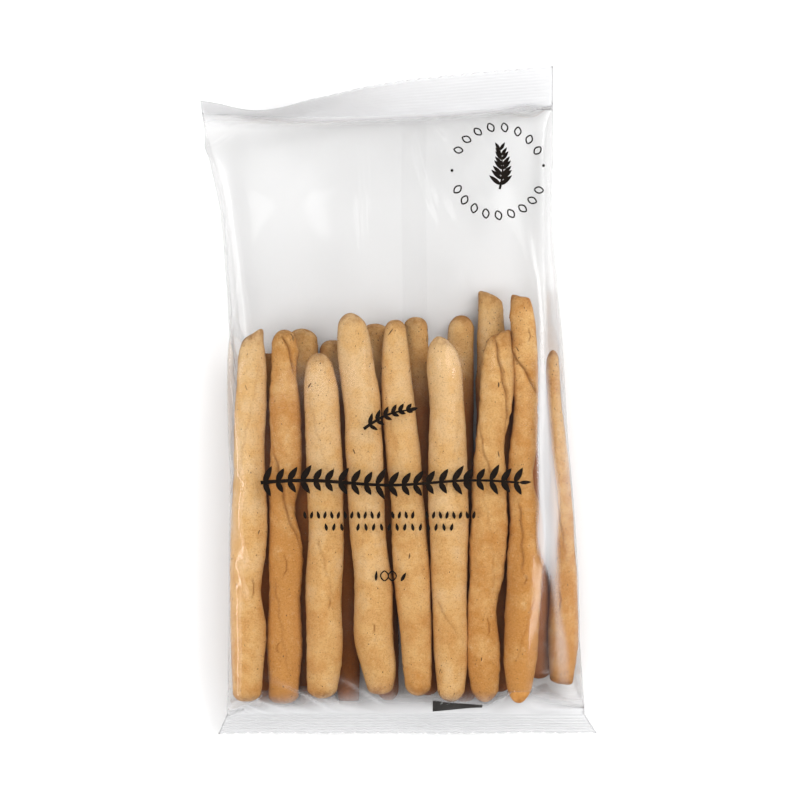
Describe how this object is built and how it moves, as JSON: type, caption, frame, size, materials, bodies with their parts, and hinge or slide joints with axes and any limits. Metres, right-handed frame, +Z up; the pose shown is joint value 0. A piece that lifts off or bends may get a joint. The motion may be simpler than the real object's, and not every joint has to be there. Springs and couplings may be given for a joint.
{
  "type": "clear bag of grissini breadsticks",
  "caption": "Sealed clear flow-wrap bag of thin hand-rolled rosemary breadsticks, lying flat with its printed side up, an end seal at each end.",
  "frame": {"origin": "centre of the bag's footprint, on the surface that it lies on", "axes": "+Y from the bottom seal to the top seal, +Z up out of the printed side, +X to the right as the print is seen"},
  "size_m": [0.1186, 0.2008, 0.0246],
  "materials": {
    "clear_film": "clear glossy film, slightly milky where it folds",
    "bread_crust": "dry baked crust, golden tan with darker cracks",
    "rosemary": "dried herb needles, dark olive brown",
    "print_ink": "near-black ink printed on the film"
  },
  "bodies": {
    "root": {"grissini_bag": "clear_film"}
  },
  "joints": []
}
